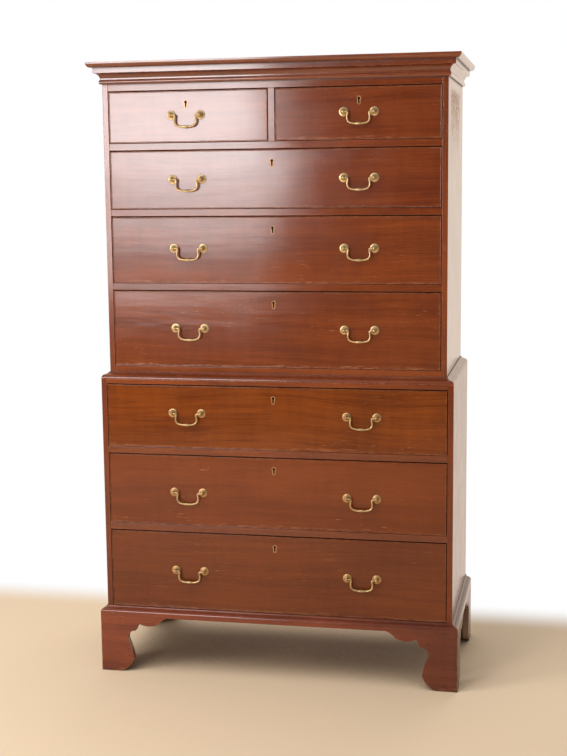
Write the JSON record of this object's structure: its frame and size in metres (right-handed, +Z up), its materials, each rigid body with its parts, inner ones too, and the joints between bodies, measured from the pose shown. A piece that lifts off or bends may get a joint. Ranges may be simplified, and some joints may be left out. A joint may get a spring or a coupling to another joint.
{
  "type": "chest on chest",
  "caption": "Tall mahogany chest on chest: graduated drawers in an upper case that steps in above a lower one, moulded cornice and waist, bracket feet, brass bail handles.",
  "frame": {"origin": "on the floor under the middle of the outline", "axes": "+Z is up, the drawers open towards -Y, +X is to the right of someone facing the drawers"},
  "size_m": [1.102, 0.538, 1.854],
  "materials": {
    "mahogany": "french polished, worn at the edges",
    "pine": "bare and darkened with age",
    "oak": "bare, smooth",
    "brass": "aged, polished on the high spots",
    "steel": "dull"
  },
  "bodies": {
    "case": {"upper_left_side": "mahogany", "upper_right_side": "mahogany", "upper_top_and_bottom": "mahogany", "lower_left_side": "mahogany", "lower_right_side": "mahogany", "lower_top_and_bottom": "mahogany", "drawer_rails": "mahogany", "dust_boards": "pine", "back_boards": "pine", "cornice": "mahogany", "waist_moulding": "mahogany", "base_moulding": "mahogany", "bracket_feet": "mahogany", "foot_blocks": "pine"},
    "lower_third_drawer": {"lower_third_drawer_front": "mahogany", "lower_third_drawer_box": "oak", "lower_third_drawer_fittings": "brass"},
    "lower_third_bolt": {"lower_third_lock_bolt": "steel"},
    "lower_third_left_bail": {"lower_third_left_bail": "brass"},
    "lower_third_right_bail": {"lower_third_right_bail": "brass"},
    "lower_second_drawer": {"lower_second_drawer_front": "mahogany", "lower_second_drawer_box": "oak", "lower_second_drawer_fittings": "brass"},
    "lower_second_bolt": {"lower_second_lock_bolt": "steel"},
    "lower_second_left_bail": {"lower_second_left_bail": "brass"},
    "lower_second_right_bail": {"lower_second_right_bail": "brass"},
    "lower_first_drawer": {"lower_first_drawer_front": "mahogany", "lower_first_drawer_box": "oak", "lower_first_drawer_fittings": "brass"},
    "lower_first_bolt": {"lower_first_lock_bolt": "steel"},
    "lower_first_left_bail": {"lower_first_left_bail": "brass"},
    "lower_first_right_bail": {"lower_first_right_bail": "brass"},
    "upper_third_drawer": {"upper_third_drawer_front": "mahogany", "upper_third_drawer_box": "oak", "upper_third_drawer_fittings": "brass"},
    "upper_third_bolt": {"upper_third_lock_bolt": "steel"},
    "upper_third_left_bail": {"upper_third_left_bail": "brass"},
    "upper_third_right_bail": {"upper_third_right_bail": "brass"},
    "upper_second_drawer": {"upper_second_drawer_front": "mahogany", "upper_second_drawer_box": "oak", "upper_second_drawer_fittings": "brass"},
    "upper_second_bolt": {"upper_second_lock_bolt": "steel"},
    "upper_second_left_bail": {"upper_second_left_bail": "brass"},
    "upper_second_right_bail": {"upper_second_right_bail": "brass"},
    "upper_first_drawer": {"upper_first_drawer_front": "mahogany", "upper_first_drawer_box": "oak", "upper_first_drawer_fittings": "brass"},
    "upper_first_bolt": {"upper_first_lock_bolt": "steel"},
    "upper_first_left_bail": {"upper_first_left_bail": "brass"},
    "upper_first_right_bail": {"upper_first_right_bail": "brass"},
    "top_left_drawer": {"top_left_drawer_front": "mahogany", "top_left_drawer_box": "oak", "top_left_drawer_fittings": "brass"},
    "top_left_bolt": {"top_left_lock_bolt": "steel"},
    "top_left_bail": {"top_left_bail": "brass"},
    "top_right_drawer": {"top_right_drawer_front": "mahogany", "top_right_drawer_box": "oak", "top_right_drawer_fittings": "brass"},
    "top_right_bolt": {"top_right_lock_bolt": "steel"},
    "top_right_bail": {"top_right_bail": "brass"}
  },
  "joints": [
    {"name": "lower_third_drawer_slide", "type": "slide", "parent": "case", "child": "lower_third_drawer", "axis": [0, -1, 0], "range_m": [0, 0.35]},
    {"name": "lower_third_bolt_slide", "type": "slide", "parent": "lower_third_drawer", "child": "lower_third_bolt", "axis": [0, 0, 1], "range_m": [0, 0.008]},
    {"name": "lower_third_left_bail_hinge", "type": "hinge", "parent": "lower_third_drawer", "child": "lower_third_left_bail", "pos_m": [-0.265, -0.2635, 0.3275], "axis": [-1, 0, 0], "range_deg": [-13, 193]},
    {"name": "lower_third_right_bail_hinge", "type": "hinge", "parent": "lower_third_drawer", "child": "lower_third_right_bail", "pos_m": [0.265, -0.2635, 0.3275], "axis": [-1, 0, 0], "range_deg": [-13, 193]},
    {"name": "lower_second_drawer_slide", "type": "slide", "parent": "case", "child": "lower_second_drawer", "axis": [0, -1, 0], "range_m": [0, 0.35]},
    {"name": "lower_second_bolt_slide", "type": "slide", "parent": "lower_second_drawer", "child": "lower_second_bolt", "axis": [0, 0, 1], "range_m": [0, 0.008]},
    {"name": "lower_second_left_bail_hinge", "type": "hinge", "parent": "lower_second_drawer", "child": "lower_second_left_bail", "pos_m": [-0.265, -0.2635, 0.572], "axis": [-1, 0, 0], "range_deg": [-13, 193]},
    {"name": "lower_second_right_bail_hinge", "type": "hinge", "parent": "lower_second_drawer", "child": "lower_second_right_bail", "pos_m": [0.265, -0.2635, 0.572], "axis": [-1, 0, 0], "range_deg": [-13, 193]},
    {"name": "lower_first_drawer_slide", "type": "slide", "parent": "case", "child": "lower_first_drawer", "axis": [0, -1, 0], "range_m": [0, 0.35]},
    {"name": "lower_first_bolt_slide", "type": "slide", "parent": "lower_first_drawer", "child": "lower_first_bolt", "axis": [0, 0, 1], "range_m": [0, 0.008]},
    {"name": "lower_first_left_bail_hinge", "type": "hinge", "parent": "lower_first_drawer", "child": "lower_first_left_bail", "pos_m": [-0.265, -0.2635, 0.8155], "axis": [-1, 0, 0], "range_deg": [-13, 193]},
    {"name": "lower_first_right_bail_hinge", "type": "hinge", "parent": "lower_first_drawer", "child": "lower_first_right_bail", "pos_m": [0.265, -0.2635, 0.8155], "axis": [-1, 0, 0], "range_deg": [-13, 193]},
    {"name": "upper_third_drawer_slide", "type": "slide", "parent": "case", "child": "upper_third_drawer", "axis": [0, -1, 0], "range_m": [0, 0.35]},
    {"name": "upper_third_bolt_slide", "type": "slide", "parent": "upper_third_drawer", "child": "upper_third_bolt", "axis": [0, 0, 1], "range_m": [0, 0.008]},
    {"name": "upper_third_left_bail_hinge", "type": "hinge", "parent": "upper_third_drawer", "child": "upper_third_left_bail", "pos_m": [-0.256, -0.2415, 1.07], "axis": [-1, 0, 0], "range_deg": [-13, 193]},
    {"name": "upper_third_right_bail_hinge", "type": "hinge", "parent": "upper_third_drawer", "child": "upper_third_right_bail", "pos_m": [0.256, -0.2415, 1.07], "axis": [-1, 0, 0], "range_deg": [-13, 193]},
    {"name": "upper_second_drawer_slide", "type": "slide", "parent": "case", "child": "upper_second_drawer", "axis": [0, -1, 0], "range_m": [0, 0.35]},
    {"name": "upper_second_bolt_slide", "type": "slide", "parent": "upper_second_drawer", "child": "upper_second_bolt", "axis": [0, 0, 1], "range_m": [0, 0.008]},
    {"name": "upper_second_left_bail_hinge", "type": "hinge", "parent": "upper_second_drawer", "child": "upper_second_left_bail", "pos_m": [-0.256, -0.2415, 1.3085], "axis": [-1, 0, 0], "range_deg": [-13, 193]},
    {"name": "upper_second_right_bail_hinge", "type": "hinge", "parent": "upper_second_drawer", "child": "upper_second_right_bail", "pos_m": [0.256, -0.2415, 1.3085], "axis": [-1, 0, 0], "range_deg": [-13, 193]},
    {"name": "upper_first_drawer_slide", "type": "slide", "parent": "case", "child": "upper_first_drawer", "axis": [0, -1, 0], "range_m": [0, 0.35]},
    {"name": "upper_first_bolt_slide", "type": "slide", "parent": "upper_first_drawer", "child": "upper_first_bolt", "axis": [0, 0, 1], "range_m": [0, 0.008]},
    {"name": "upper_first_left_bail_hinge", "type": "hinge", "parent": "upper_first_drawer", "child": "upper_first_left_bail", "pos_m": [-0.256, -0.2415, 1.511], "axis": [-1, 0, 0], "range_deg": [-13, 193]},
    {"name": "upper_first_right_bail_hinge", "type": "hinge", "parent": "upper_first_drawer", "child": "upper_first_right_bail", "pos_m": [0.256, -0.2415, 1.511], "axis": [-1, 0, 0], "range_deg": [-13, 193]},
    {"name": "top_left_drawer_slide", "type": "slide", "parent": "case", "child": "top_left_drawer", "axis": [0, -1, 0], "range_m": [0, 0.35]},
    {"name": "top_left_bolt_slide", "type": "slide", "parent": "top_left_drawer", "child": "top_left_bolt", "axis": [0, 0, 1], "range_m": [0, 0.008]},
    {"name": "top_left_bail_hinge", "type": "hinge", "parent": "top_left_drawer", "child": "top_left_bail", "pos_m": [-0.256, -0.2415, 1.6975], "axis": [-1, 0, 0], "range_deg": [-13, 193]},
    {"name": "top_right_drawer_slide", "type": "slide", "parent": "case", "child": "top_right_drawer", "axis": [0, -1, 0], "range_m": [0, 0.35]},
    {"name": "top_right_bolt_slide", "type": "slide", "parent": "top_right_drawer", "child": "top_right_bolt", "axis": [0, 0, 1], "range_m": [0, 0.008]},
    {"name": "top_right_bail_hinge", "type": "hinge", "parent": "top_right_drawer", "child": "top_right_bail", "pos_m": [0.256, -0.2415, 1.6975], "axis": [-1, 0, 0], "range_deg": [-13, 193]}
  ]
}
